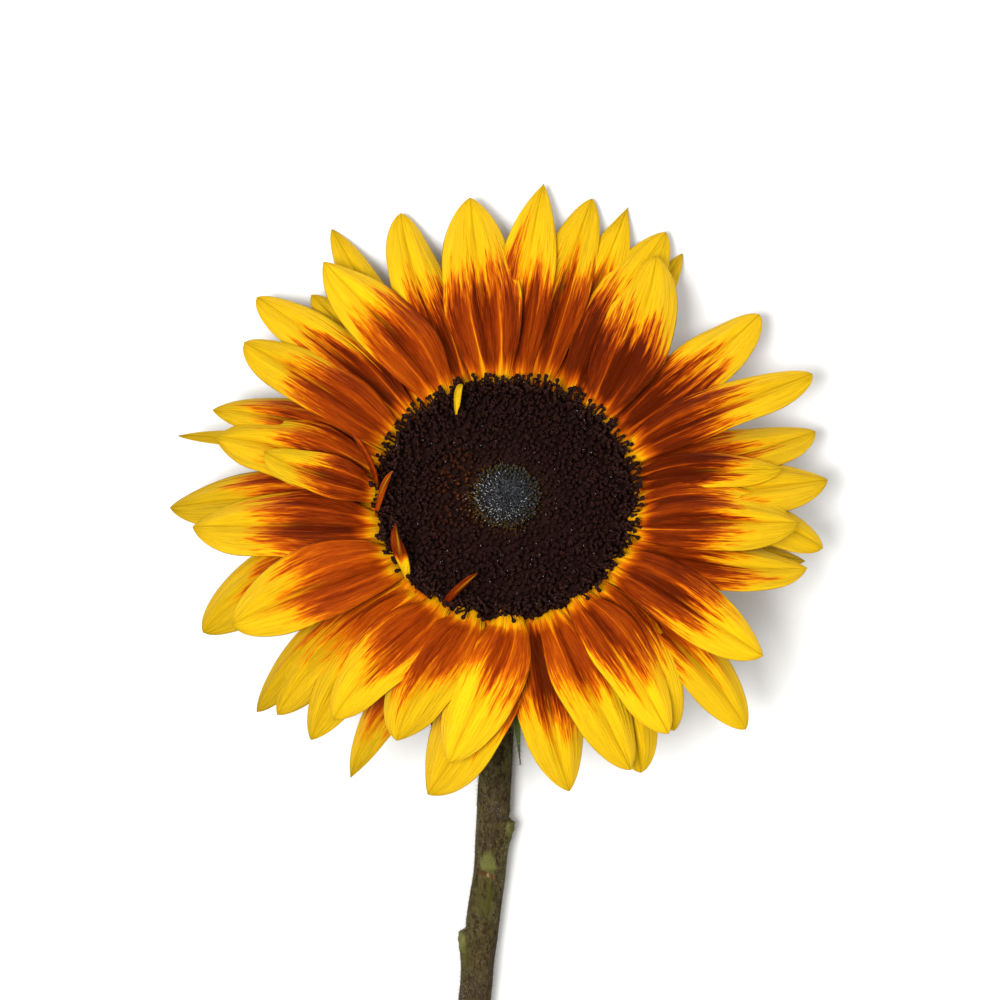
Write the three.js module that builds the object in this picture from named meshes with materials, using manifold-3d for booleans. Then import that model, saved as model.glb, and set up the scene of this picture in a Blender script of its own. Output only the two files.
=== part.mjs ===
// A cut sunflower with two-coloured ray petals, laid on its back on a flat surface.
// Millimetres, +Z up. X runs across the bloom, -Y along the stem to its cut end, and Z = 0 is the
// surface. The origin lies under the middle of the whole flower. The head nods away from the stem,
// so that the far petals and the lower side of the stem touch the surface.
import * as THREE from "three";
import { mergeVertices } from "three/addons/utils/BufferGeometryUtils.js";
import Module from "manifold-3d";

const wasm = await Module();
wasm.setup();
const { Manifold, Mesh } = wasm;

// ---- Driving dimensions ---------------------------------------------------------------------

const HEAD_CENTRE = new THREE.Vector3(1.7, 63.1, 35); // middle of the disc's face
const HEAD_TILT = THREE.MathUtils.degToRad(22); // how far the face leans from straight up
const DISC_RADIUS = 29.2; // the block of dark florets
const HEART_RADIUS = 7.4; // the young florets in its middle
const PIECE_GAP = 0.3; // between neighbouring pieces of the head
const RIM_BOTTOM = -6.5; // heights are measured from the disc's face, along the head's axis
const RIM_TOP = -2.6;
const RIM_WIDTH = 2.2;
const RECEPTACLE_BACK = -16.7;
const PETAL_THICKNESS = 0.7;
const BRACT_THICKNESS = 0.8;
const STEM_RADIUS = 4.0;
const STEM_REACH = 200; // from the middle of the disc to the cut end, along Y
const STEM_SIDES = 10;

const { degToRad, lerp, clamp } = THREE.MathUtils;

// A repeatable draw from 0 to 1 for item k of a list.
const draw = (k, salt) => {
  const s = Math.sin(k * 12.9898 + salt * 78.233) * 43758.5453;
  return s - Math.floor(s);
};

// ---- The head's own frame -------------------------------------------------------------------

const headAcross = new THREE.Vector3(1, 0, 0);
const headUp = new THREE.Vector3(0, Math.cos(HEAD_TILT), -Math.sin(HEAD_TILT));
const headAxis = new THREE.Vector3(0, Math.sin(HEAD_TILT), Math.cos(HEAD_TILT));

const headMatrix = new THREE.Matrix4()
  .makeBasis(headAcross, headUp, headAxis)
  .setPosition(HEAD_CENTRE);

// The direction from the head's axis towards an angle round the disc, 0 along +X.
const outwards = (angle) =>
  headAcross
    .clone()
    .multiplyScalar(Math.cos(angle))
    .addScaledVector(headUp, Math.sin(angle));

// A point of the head by its distance from the axis, angle and height above the disc's face.
const onHead = (radius, angle, height) =>
  HEAD_CENTRE.clone()
    .addScaledVector(outwards(angle), radius)
    .addScaledVector(headAxis, height);

// The height of the plane of the disc's face over a place given from the middle of the disc.
const faceHeight = (y) => HEAD_CENTRE.z - y * Math.tan(HEAD_TILT);

// 0 at the far side of the bloom, 1 at the stem side, where petals and bracts hang back most.
const hang = (angle) => (1 - Math.sin(angle)) / 2;

// ---- Solids ---------------------------------------------------------------------------------

function solidOf(geometry) {
  const bare = new THREE.BufferGeometry()
    .setAttribute("position", geometry.getAttribute("position").clone())
    .setIndex(geometry.index);
  const merged = mergeVertices(bare, 1e-4);
  return new Manifold(
    new Mesh({
      numProp: 3,
      vertProperties: new Float32Array(merged.attributes.position.array),
      triVerts: new Uint32Array(merged.index.array),
    }),
  );
}

function geometryOf(solid) {
  const { vertProperties, triVerts } = solid.getMesh();
  const geometry = new THREE.BufferGeometry()
    .setAttribute("position", new THREE.BufferAttribute(vertProperties, 3))
    .setIndex(new THREE.BufferAttribute(triVerts, 1));
  geometry.computeVertexNormals();
  return geometry;
}

// Joins solids into one body: a hollow sealed by the join is filled and a loose scrap dropped.
function fuse(solids) {
  const bodies = Manifold.union(solids).decompose();
  return bodies.sort((a, b) => b.volume() - a.volume())[0];
}

// A closed solid between two grids of points that share their corners and diagonals.
// point(u, v, side) gives a corner, u and v from 0 to 1 and side 1 for the upper face, -1 below.
function bladeGeometry(point, along, across) {
  const positions = [];
  const triangles = [];
  const row = across + 1;
  const face = (along + 1) * row;
  for (const side of [1, -1]) {
    for (let i = 0; i <= along; i++) {
      for (let j = 0; j <= across; j++) {
        positions.push(...point(i / along, j / across, side).toArray());
      }
    }
  }
  const quad = (a, b, c, d) => triangles.push(a, b, c, a, c, d);
  for (let i = 0; i < along; i++) {
    for (let j = 0; j < across; j++) {
      const a = i * row + j;
      const b = a + 1;
      const c = a + row + 1;
      const d = a + row;
      triangles.push(a, c, b, a, d, c);
      triangles.push(face + a, face + b, face + c, face + a, face + c, face + d);
    }
    const left = i * row;
    const right = left + across;
    quad(left, face + left, face + left + row, left + row);
    quad(right, right + row, face + right + row, face + right);
  }
  for (let j = 0; j < across; j++) {
    const tip = along * row + j;
    quad(j, j + 1, face + j + 1, face + j);
    quad(tip, face + tip, face + tip + 1, tip + 1);
  }
  return new THREE.BufferGeometry()
    .setAttribute("position", new THREE.Float32BufferAttribute(positions, 3))
    .setIndex(triangles);
}

// A closed round body whose rings are given by ring(i, angle), with a point at each end.
function ringedGeometry(rings, sides, ring, firstPoint, lastPoint) {
  const positions = [...firstPoint.toArray(), ...lastPoint.toArray()];
  const triangles = [];
  const at = (i, j) => 2 + i * sides + (j % sides);
  for (let i = 0; i < rings; i++) {
    for (let j = 0; j < sides; j++) {
      positions.push(...ring(i, (j / sides) * 2 * Math.PI).toArray());
    }
  }
  for (let j = 0; j < sides; j++) {
    triangles.push(0, at(0, j + 1), at(0, j));
    triangles.push(1, at(rings - 1, j), at(rings - 1, j + 1));
    for (let i = 0; i < rings - 1; i++) {
      triangles.push(at(i, j), at(i, j + 1), at(i + 1, j + 1));
      triangles.push(at(i, j), at(i + 1, j + 1), at(i + 1, j));
    }
  }
  return new THREE.BufferGeometry()
    .setAttribute("position", new THREE.Float32BufferAttribute(positions, 3))
    .setIndex(triangles);
}

// ---- Ray petals -----------------------------------------------------------------------------
// Each row is one petal: the angle round the rim where it is rooted, its tip from the middle of the
// disc as seen from above (X, Y), its width, how many layers back it lies, how its edges stand
// (above 0 cupped, below 0 rolled down), how sharp its tip is, and how far it swings, in degrees.
const PETALS = [
  [96, -8.5, 70.5, 18.8, 0.0, -0.02, 0.8, -3],
  [86, 9.0, 74.0, 14.5, 1.0, 0.02, 1.15, -5],
  [76, 20.5, 70.5, 13.5, 1.9, 0.04, 0.8, -4],
  [68, 29.0, 68.5, 13.0, 2.7, 0.06, 1.3, 1],
  [58, 38.0, 62.5, 15.5, 1.3, 0.02, 0.8, -6],
  [47, 35.5, 56.5, 17.4, 0.0, -0.04, 0.75, 13],
  [52, 42.0, 57.5, 9.0, 2.8, 0.0, 0.9, 0],
  [36, 60.0, 42.5, 14.3, 1.3, 0.0, 0.8, 5],
  [21, 72.0, 28.2, 11.8, 0.4, 0.0, 0.75, 0],
  [12, 73.0, 15.0, 13.0, 2.7, 0.02, 0.85, 10],
  [9, 64.5, 6.0, 9.5, 1.0, 0.0, 0.9, 0],
  [0, 75.5, 3.5, 15.0, 1.8, 0.02, 0.9, 4],
  [-4, 67.0, -6.5, 12.0, 0.9, 0.02, 0.8, -14],
  [-12, 68.0, -6.5, 15.0, 0.0, -0.03, 0.95, 2],
  [-8, 74.0, -12.5, 12.5, 2.0, 0.0, 0.65, -27],
  [-16, 70.0, -15.5, 8.0, 2.8, 0.0, 0.9, 0],
  [-22, 70.0, -17.0, 13.8, 1.2, 0.0, 0.9, 17],
  [-33, 59.0, -37.0, 15.5, 0.0, 0.03, 0.9, 2],
  [-42, 55.5, -54.3, 14.5, 2.0, 0.02, 0.75, -17],
  [-48, 38.5, -54.0, 14.0, 1.1, -0.05, 0.75, -16],
  [-56, 37.0, -54.5, 14.0, 0.0, -0.03, 0.85, -6],
  [-61, 31.0, -64.0, 15.0, 2.2, 0.0, 0.7, -22],
  [-69, 28.5, -63.0, 15.0, 1.1, 0.0, 0.85, 2],
  [-79, 14.5, -68.0, 15.5, 1.8, 0.0, 0.9, 6],
  [-89, -13.0, -61.0, 16.5, 0.0, -0.05, 0.9, -1],
  [-95, -18.0, -69.0, 18.0, 2.4, 0.03, 0.85, -14],
  [-107, -25.0, -56.0, 17.0, 0.35, -0.05, 0.85, 18],
  [-114, -36.0, -65.5, 10.5, 2.8, 0.0, 1.1, 14],
  [-121, -39.5, -51.5, 14.8, 0.75, 0.0, 0.85, 14],
  [-130, -45.0, -56.5, 13.5, 2.05, 0.0, 0.85, 18],
  [-137, -53.0, -51.0, 13.0, 2.5, 0.0, 0.8, 15],
  [-142, -58.0, -50.5, 11.0, 2.95, 0.0, 0.85, 12],
  [-149, -63.0, -30.0, 19.0, 0.0, 0.12, 0.75, 6],
  [-160, -70.5, -32.0, 16.0, 1.9, 0.0, 0.7, 24],
  [-167, -73.0, -7.5, 17.8, 0.7, 0.0, 0.85, 0],
  [180, -79.0, -3.0, 15.0, 2.3, 0.03, 0.85, 4],
  [170, -68.0, 13.5, 17.0, 1.2, -0.02, 0.85, 11],
  [177, -56.0, 10.0, 10.5, -0.8, 0.08, 0.75, -14],
  [165, -77.5, 14.0, 5.0, 2.8, 0.03, 0.9, 8],
  [159, -69.0, 20.0, 12.0, 2.1, 0.0, 0.9, 13],
  [150, -61.5, 35.8, 14.3, 0.2, 0.0, 0.65, 4],
  [138, -59.0, 46.8, 13.0, 1.4, 0.02, 0.68, 5],
  [131, -46.0, 47.3, 10.0, 2.1, 0.0, 0.7, 4],
  [121, -43.0, 55.0, 16.5, 0.0, -0.02, 1.0, 2],
  [125, -41.5, 63.3, 10.3, 2.8, 0.0, 0.85, 0],
  [111, -25.0, 67.0, 13.4, 1.4, 0.0, 0.7, -12],
];
const PETAL_SEGMENTS = [6, 4]; // along and across

const ROOT_RADIUS = DISC_RADIUS + PIECE_GAP + 0.8;
const RISE_FRONT = degToRad(46); // how steeply a front petal leaves the rim
const RISE_BACK = degToRad(12);

const PETAL_REACH = 72; // a full petal's tip from the middle of the disc
const BACK_LAYER = 2.8;

// The height of the surface, or of the petals under a petal, that it can lie on.
const petalFloor = (layer) => (BACK_LAYER - layer) * 1.4;

// The line that a petal's middle follows, as a curve from the rim to its tip.
function petalLine([rootDegrees, tipX, tipY, , layer, , , swing]) {
  const root = degToRad(rootDegrees);
  const depth = layer / 3;
  const start = onHead(ROOT_RADIUS, root, lerp(RIM_TOP - 0.8, RIM_BOTTOM + 1.2, depth));
  const reach = Math.hypot(tipX, tipY) / PETAL_REACH;
  const drop = (lerp(1.5, 19, hang(root)) + layer * lerp(3.0, 5.0, hang(root))) * reach ** 2;
  const tip = new THREE.Vector3(tipX, tipY, 0).add(HEAD_CENTRE);
  tip.z = Math.max(faceHeight(tipY) - drop, petalFloor(layer) + PETAL_THICKNESS / 2);
  const length = start.distanceTo(tip);
  const rise = lerp(RISE_FRONT, RISE_BACK, depth);
  const leave = outwards(root)
    .multiplyScalar(Math.cos(rise))
    .addScaledVector(headAxis, Math.sin(rise));
  const arrive = tip.clone().sub(start).normalize();
  arrive.applyAxisAngle(headAxis, degToRad(swing));
  arrive.addScaledVector(headAxis, -lerp(0.06, 0.28, hang(root))).normalize();
  return new THREE.CubicBezierCurve3(
    start.clone(),
    start.clone().addScaledVector(leave, length * 0.3),
    tip.clone().addScaledVector(arrive, -length * 0.38),
    tip,
  );
}

// How wide a petal is along its length, as a share of its full width: a narrow claw, widest near
// the middle, closing to a tip.
function petalOutline(t, sharpness) {
  const claw = 0.42 + 0.58 * Math.sin((Math.PI / 2) * Math.min(1, t / 0.5)) ** 1.2;
  return claw * (1 - t ** 4.5) ** sharpness;
}

// How far a petal stands out of its own plane, as a share of its width. The middle is a groove,
// each half bulges, and the edges are cupped or rolled down. v runs from -1 to 1.
function petalSection(t, v, cup) {
  const fading = Math.sin(Math.PI * Math.min(1, t + 0.25));
  const halves = 0.06 * Math.sin(Math.PI * Math.abs(v)) * fading;
  return halves + cup * v * v * Math.sin(Math.PI * clamp(t, 0, 0.6));
}

function petal(row) {
  const [, , , width, layer, cup, sharpness] = row;
  const floor = petalFloor(layer);
  const line = petalLine(row);
  const tipWidth = 0.9;
  return bladeGeometry(
    (u, v, side) => {
      const t = lerp(u, Math.sin((u * Math.PI) / 2), 0.6);
      const middle = line.getPoint(t);
      const along = line.getTangent(t);
      const across = headAxis.clone().cross(along).normalize();
      const up = along.clone().cross(across);
      const s = 2 * v - 1;
      const wide = Math.max(width * petalOutline(t, sharpness), tipWidth);
      const point = middle
        .addScaledVector(across, (s * wide) / 2)
        .addScaledVector(up, wide * petalSection(t, s, cup) + (side * PETAL_THICKNESS) / 2);
      point.z = Math.max(point.z, side > 0 ? floor + PETAL_THICKNESS : floor);
      return point;
    },
    ...PETAL_SEGMENTS,
  );
}

// Stunted rays that stand up round the edge of the disc and curl over it. Each row: root angle,
// tip distance from the axis, tip angle, tip height, width.
const CURLED_RAYS = [
  [108, 21.6, 122, 3.6, 2.4],
  [173, 37.5, 160, 5.0, 4.4],
  [188, 26.3, 171, 4.5, 1.7],
  [221, 27.0, 201, 6.5, 3.0],
  [242, 22.5, 253, 6.0, 1.9],
];

function curledRay([rootDegrees, tipRadius, tipDegrees, tipHeight, width]) {
  const root = degToRad(rootDegrees);
  const tip = degToRad(tipDegrees);
  const line = new THREE.CubicBezierCurve3(
    onHead(ROOT_RADIUS, root, RIM_TOP - 0.9),
    onHead(ROOT_RADIUS + 0.2, root, 1.8),
    onHead(lerp(ROOT_RADIUS, tipRadius, 0.4), lerp(root, tip, 0.5), tipHeight),
    onHead(tipRadius, tip, tipHeight),
  );
  return bladeGeometry(
    (u, v, side) => {
      const along = line.getTangent(u);
      const across = headAxis.clone().cross(outwards(root)).normalize();
      const up = along.clone().cross(across).normalize();
      const wide = width * (0.45 + 0.55 * Math.sin(Math.PI * u * 0.92));
      return line
        .getPoint(u)
        .addScaledVector(across, (v - 0.5) * wide)
        .addScaledVector(up, (side * PETAL_THICKNESS) / 2);
    },
    6,
    1,
  );
}

// The rim of the head that all the rays grow from.
function rayRim() {
  const inside = DISC_RADIUS + PIECE_GAP;
  const outside = inside + RIM_WIDTH;
  const section = [
    [inside, RIM_BOTTOM],
    [outside, RIM_BOTTOM],
    [outside + 0.3, (RIM_BOTTOM + RIM_TOP) / 2],
    [outside - 0.6, RIM_TOP],
    [inside, RIM_TOP],
    [inside, RIM_BOTTOM],
  ].map(([radius, height]) => new THREE.Vector2(radius, height));
  return new THREE.LatheGeometry(section, 36).rotateX(Math.PI / 2).applyMatrix4(headMatrix);
}

function rayPetals() {
  return fuse(
    [rayRim(), ...PETALS.map(petal), ...CURLED_RAYS.map(curledRay)].map(solidOf),
  );
}

// ---- Disc: florets in crossing spirals -------------------------------------------------------

// How high the disc's face stands at a distance from its axis: a low dome that dips in the middle.
const discFace = (radius) =>
  -1.6 * (radius / DISC_RADIUS) ** 4 - 0.9 * Math.exp(-((radius / HEART_RADIUS) ** 2));

// A face of florets: rings of points, every other one raised, each ring turned a little further so
// that the florets line up in crossing spirals. It stands on a straight wall down to the bottom.
function floretBlock(innerRadius, outerRadius, spirals, rings, raise, bottom) {
  const sides = spirals * 2;
  const turn = Math.PI / spirals;
  const growth = innerRadius > 0 ? Math.log(outerRadius / innerRadius) / rings : 0;
  const radiusOf = (k) =>
    innerRadius > 0 ? innerRadius * Math.exp(growth * k) : (outerRadius * (k + 1)) / (rings + 1);
  const around = (radius, angle, k, height) =>
    new THREE.Vector3(
      radius * Math.cos(angle + k * turn * 0.24),
      radius * Math.sin(angle + k * turn * 0.24),
      height,
    );
  const faceRing = (k, angle) => {
    const index = Math.round((angle / (2 * Math.PI)) * sides);
    const raised = (index + k) % 2 === 0 && k > 0 && k < rings;
    const radius = radiusOf(k);
    const lift = raised ? raise * Math.min(1, radius / 14) : 0;
    return around(radius, angle, k, discFace(radius) + lift);
  };
  const lowRing = (radius, k, angle) => around(radius, angle, k, bottom);
  return { faceRing, lowRing, sides, rings };
}

function discFlorets() {
  const inner = HEART_RADIUS + PIECE_GAP;
  const block = floretBlock(inner, DISC_RADIUS, 42, 12, 1.3, RIM_BOTTOM);
  const { faceRing, lowRing, sides, rings } = block;
  const positions = [];
  const triangles = [];
  const loops = rings + 3;
  const loop = (k, angle) => {
    if (k <= rings) return faceRing(k, angle);
    return k === rings + 1 ? lowRing(DISC_RADIUS, rings, angle) : lowRing(inner, 0, angle);
  };
  for (let k = 0; k < loops; k++) {
    for (let j = 0; j < sides; j++) {
      positions.push(...loop(k, (j / sides) * 2 * Math.PI).toArray());
    }
  }
  const at = (k, j) => (k % loops) * sides + (j % sides);
  for (let k = 0; k < loops; k++) {
    for (let j = 0; j < sides; j++) {
      triangles.push(at(k, j), at(k + 1, j), at(k + 1, j + 1));
      triangles.push(at(k, j), at(k + 1, j + 1), at(k, j + 1));
    }
  }
  return new THREE.BufferGeometry()
    .setAttribute("position", new THREE.Float32BufferAttribute(positions, 3))
    .setIndex(triangles);
}

function discHeart() {
  const { faceRing, lowRing, sides, rings } = floretBlock(0, HEART_RADIUS, 15, 5, 0.9, RIM_BOTTOM);
  return ringedGeometry(
    rings + 2,
    sides,
    (i, angle) =>
      i === 0 ? lowRing(HEART_RADIUS, rings, angle) : faceRing(rings + 1 - i, angle),
    new THREE.Vector3(0, 0, RIM_BOTTOM),
    new THREE.Vector3(0, 0, discFace(0)),
  );
}

// ---- Receptacle and its bracts ---------------------------------------------------------------

const BRACT_ROWS = [
  { count: 16, radius: 28.6, height: -9.2, length: 22, width: 12.5, offset: 2 },
  { count: 14, radius: 23.0, height: -12.0, length: 23, width: 12.0, offset: 11 },
];

function bract(row, k, item) {
  const root = degToRad((k * 360) / row.count + row.offset + 5 * (draw(item, 1) - 0.5));
  const length = row.length * lerp(0.86, 1.12, draw(item, 2));
  const reach = row.radius + length;
  const tipHeight = row.height - lerp(17.5, 14, hang(root)) - 1.5 * draw(item, 3);
  const bendHeight = lerp(row.height, tipHeight, lerp(0.85, 0.35, hang(root)));
  const line = new THREE.CubicBezierCurve3(
    onHead(row.radius - 2.5, root, row.height + 0.6),
    onHead(row.radius + length * 0.3, root, row.height + 0.4),
    onHead(row.radius + length * 0.7, root, bendHeight),
    onHead(reach, root + 0.1 * (draw(item, 4) - 0.5), tipHeight),
  );
  return bladeGeometry(
    (u, v, side) => {
      const s = 2 * v - 1;
      const along = line.getTangent(u);
      const across = headAxis.clone().cross(along).normalize();
      const up = along.clone().cross(across);
      const wide = Math.max(row.width * (0.9 + 1.2 * u) * (1 - u ** 1.3), 0.8);
      const point = line
        .getPoint(u)
        .addScaledVector(across, (s * wide) / 2)
        .addScaledVector(up, 0.1 * wide * s * s + (side * BRACT_THICKNESS) / 2);
      point.z = Math.max(point.z, side > 0 ? BRACT_THICKNESS : 0);
      return point;
    },
    4,
    2,
  );
}

function receptacle() {
  const top = RIM_BOTTOM - PIECE_GAP;
  const rim = DISC_RADIUS + PIECE_GAP + RIM_WIDTH;
  const profile = [
    [0, RECEPTACLE_BACK],
    [6.4, RECEPTACLE_BACK],
    [12, -15.4],
    [20, -13.0],
    [27, -10.2],
    [rim, -8.0],
    [rim - 0.4, top],
    [0, top],
  ].map(([radius, height]) => new THREE.Vector2(radius, height));
  return new THREE.LatheGeometry(profile, 36).rotateX(Math.PI / 2).applyMatrix4(headMatrix);
}

function involucre() {
  const bracts = BRACT_ROWS.flatMap((row, r) =>
    Array.from({ length: row.count }, (_, k) => bract(row, k, r * 20 + k)),
  );
  return fuse([receptacle(), ...bracts].map(solidOf));
}

// ---- Stem ------------------------------------------------------------------------------------

const FLAT_HEIGHT = STEM_RADIUS * Math.cos(Math.PI / STEM_SIDES);
const STEM_TOP_HEIGHT = RECEPTACLE_BACK - PIECE_GAP;
// The stem's middle line from the cut end, from the middle of the disc, as seen from above.
const STEM_LINE = [
  [-16.0, -STEM_REACH],
  [-11.8, -160],
  [-7.6, -121],
  [-6.2, -106],
  [-3.7, -87],
  [-2.9, -72],
  [-1.4, -48],
  [-0.6, -32],
];

function stemLine() {
  const lying = STEM_LINE.map(
    ([x, y]) => new THREE.Vector3(HEAD_CENTRE.x + x, HEAD_CENTRE.y + y, FLAT_HEIGHT),
  );
  const join = onHead(0, 0, STEM_TOP_HEIGHT);
  const bend = lying[lying.length - 1];
  const line = new THREE.CurvePath();
  line.add(new THREE.CatmullRomCurve3(lying));
  line.add(
    new THREE.CubicBezierCurve3(
      bend,
      bend.clone().add(new THREE.Vector3(0.3, 14, 0)),
      join.clone().addScaledVector(headAxis, -9),
      join,
    ),
  );
  return line;
}

// Where leaves were stripped: distance from the cut end, angle round the stem and size of the stub.
const LEAF_STUBS = [
  [96, 168, 1.35],
  [111, 100, 1.0],
  [123, 12, 1.2],
];

function stemFrame(line, t) {
  const along = line.getTangent(t);
  const across = new THREE.Vector3(1, 0, 0);
  across.addScaledVector(along, -across.dot(along)).normalize();
  return { middle: line.getPoint(t), along, across, up: across.clone().cross(along) };
}

function stem() {
  const line = stemLine();
  const rings = 23;
  const share = (i) => i / (rings - 1);
  const radiusAt = (t) => STEM_RADIUS + 2.2 * clamp((t - 0.86) / 0.14, 0, 1) ** 2;
  const tube = ringedGeometry(
    rings,
    STEM_SIDES,
    (i, angle) => {
      const { middle, across, up } = stemFrame(line, share(i));
      const turned = Math.PI / STEM_SIDES - Math.PI / 2 - angle;
      const point = middle
        .addScaledVector(across, radiusAt(share(i)) * Math.cos(turned))
        .addScaledVector(up, radiusAt(share(i)) * Math.sin(turned));
      point.z = Math.max(point.z, 0);
      return point;
    },
    line.getPoint(0),
    line.getPoint(1),
  );
  const stubs = LEAF_STUBS.map(([distance, degrees, size]) => {
    const { middle, along, across, up } = stemFrame(line, distance / line.getLength());
    const out = across
      .clone()
      .multiplyScalar(Math.cos(degToRad(degrees)))
      .addScaledVector(up, Math.sin(degToRad(degrees)));
    const side = along.clone().cross(out);
    const place = new THREE.Matrix4()
      .makeBasis(out, side, along)
      .setPosition(middle.addScaledVector(out, STEM_RADIUS * 0.86));
    return new THREE.SphereGeometry(1, 8, 6)
      .scale(1.35 * size, 2.3, 3.0)
      .applyMatrix4(place);
  });
  return fuse([tube, ...stubs].map(solidOf));
}

// ---- The flower ------------------------------------------------------------------------------

const material = (color, roughness) =>
  new THREE.MeshStandardMaterial({ color, roughness, metalness: 0 });

function named(name, geometry, look) {
  const mesh = new THREE.Mesh(geometry, look);
  mesh.name = name;
  return mesh;
}

const head = new THREE.Group();
head.position.copy(HEAD_CENTRE);
head.rotation.x = -HEAD_TILT;
head.add(
  named("disc_florets", discFlorets(), material(0x24120c, 0.9)),
  named("disc_heart", discHeart(), material(0x4c4f48, 0.8)),
);

const flower = new THREE.Group();
flower.add(
  named("stem", geometryOf(stem()), material(0x5c5638, 0.85)),
  named("receptacle_bracts", geometryOf(involucre()), material(0x56682f, 0.8)),
  named("ray_petals", geometryOf(rayPetals()), material(0xf0b810, 0.6)),
  head,
);

export default flower;
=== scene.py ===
import bpy
import numpy as np
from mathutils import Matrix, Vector


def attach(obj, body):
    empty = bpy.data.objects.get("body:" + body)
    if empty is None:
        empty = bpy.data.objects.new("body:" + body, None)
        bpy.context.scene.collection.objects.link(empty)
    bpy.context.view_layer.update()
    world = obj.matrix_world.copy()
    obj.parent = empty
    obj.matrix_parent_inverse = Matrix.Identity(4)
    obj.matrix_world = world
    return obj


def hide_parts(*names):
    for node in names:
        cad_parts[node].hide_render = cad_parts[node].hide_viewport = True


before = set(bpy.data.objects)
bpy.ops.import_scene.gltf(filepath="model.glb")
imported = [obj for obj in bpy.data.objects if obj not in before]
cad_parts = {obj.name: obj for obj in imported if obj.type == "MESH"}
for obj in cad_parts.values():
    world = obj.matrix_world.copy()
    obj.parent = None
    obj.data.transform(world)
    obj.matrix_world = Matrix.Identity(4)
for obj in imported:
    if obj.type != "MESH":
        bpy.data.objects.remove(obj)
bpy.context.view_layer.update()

# A cut sunflower laid on its back. It is put together from the stem up: stem, receptacle and bracts, rays,
# disc florets, and the woolly young florets in the middle. Lengths are in millimetres until a mesh is made,
# in metres.


# ---- The place of the head, the view and the light ----
# The head leans 22 degrees away from the stem, and the bracts under its far edge rest on the surface. It is
# looked at straight from above, from about a metre, under broad soft daylight, on a plain pale floor.

HEAD = np.array([1.7, 63.1, 35.0])  # middle of the disc's face
LEAN = np.radians(22)
ACROSS = np.array([1.0, 0.0, 0.0])
UPWARDS = np.array([0.0, np.cos(LEAN), -np.sin(LEAN)])
AXIS = np.array([0.0, np.sin(LEAN), np.cos(LEAN)])
CAMERA = HEAD + [-1.4, -1.15, 958.3]
METRES = 0.001  # in a millimetre

camera = bpy.data.objects.new("camera", bpy.data.cameras.new("camera"))
camera.data.lens = 150
camera.data.sensor_width = 36
camera.location = CAMERA * METRES
bpy.context.scene.collection.objects.link(camera)
bpy.context.scene.camera = camera
bpy.context.scene.view_settings.view_transform = "Standard"


def soft_light(name, place, size, power):
    """A square light that looks at the head from a place in metres."""
    light = bpy.data.objects.new(name, bpy.data.lights.new(name, "AREA"))
    light.data.size = size
    light.data.energy = power
    light.location = place
    towards = Vector(HEAD * METRES) - light.location
    light.rotation_euler = towards.to_track_quat("-Z", "Y").to_euler()
    bpy.context.scene.collection.objects.link(light)


soft_light("key_light", place=(-0.5, -0.1, 1.3), size=0.6, power=22)
soft_light("fill_light", place=(0.7, 0.7, 1.1), size=1.2, power=8)

world = bpy.data.worlds.new("daylight")
world.use_nodes = True
sky = world.node_tree.nodes["Background"].inputs
sky["Color"].default_value = (1.0, 0.99, 0.97, 1)
sky["Strength"].default_value = 0.48
bpy.context.scene.world = world


def node(tree, kind, values=None, **settings):
    """Adds a shader node, sets its fields, and joins or sets each of the sockets named in values."""
    made = tree.nodes.new("ShaderNode" + kind)
    for field, value in settings.items():
        setattr(made, field, value)
    for socket, value in (values or {}).items():
        if isinstance(value, bpy.types.NodeSocket):
            tree.links.new(value, made.inputs[socket])
        else:
            made.inputs[socket].default_value = value
    return made


def finish(name, roughness, specular=0.3, gloss=(1.0, 1.0, 1.0)):
    """A new material with its main shader, which takes its colour and bump later."""
    material = bpy.data.materials.new(name)
    material.use_nodes = True
    shader = material.node_tree.nodes["Principled BSDF"]
    shader.inputs["Roughness"].default_value = roughness
    shader.inputs["Specular IOR Level"].default_value = specular
    shader.inputs["Specular Tint"].default_value = (*gloss, 1)
    return material, material.node_tree, shader


def joined(kind, values, **settings):
    """A shader node in the tree that the values joined to it come from."""
    tree = next(value.id_data for value in values.values() if isinstance(value, bpy.types.NodeSocket))
    return node(tree, kind, values, **settings)


def sums(operation, *values, clamp=False):
    """One arithmetic node."""
    inputs = dict(enumerate(values))
    return joined("Math", inputs, operation=operation, use_clamp=clamp).outputs[0]


def times(first, second, clamp=False):
    """The product of two values."""
    return sums("MULTIPLY", first, second, clamp=clamp)


def step(value, low, high):
    """Rises smoothly from 0 where value is low to 1 where it is high, or falls if low is the larger."""
    inputs = {"Value": value, "From Min": low, "From Max": high}
    return joined("MapRange", inputs, interpolation_type="SMOOTHSTEP").outputs[0]


def tint(share, first, second):
    """The first colour where share is 0 and the second where it is 1."""
    values = {0: share}
    for socket, colour in ((6, first), (7, second)):
        values[socket] = colour if isinstance(colour, bpy.types.NodeSocket) else (*colour, 1)
    return joined("Mix", values, data_type="RGBA").outputs[2]


def coated(colour, *coats):
    """A colour under coats, each a share and a colour."""
    for share, coat in coats:
        colour = tint(share, colour, coat)
    return colour


def ramp(value, stops):
    """A colour read along a row of stops, each a position and a colour, from position 0 to 1."""
    made = joined("ValToRGB", {"Fac": value})
    elements = made.color_ramp.elements
    for position, _ in stops[1:-1]:
        elements.new(position)
    for element, (_, colour) in zip(elements, stops):
        element.color = (*colour, 1)
    return made.outputs["Color"]


def noise(place, scale, detail=3.0, roughness=0.6):
    """Cloudy noise from 0 to 1 at a place."""
    values = {"Vector": place, "Scale": scale, "Detail": detail, "Roughness": roughness}
    return joined("TexNoise", values).outputs["Fac"]


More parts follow.
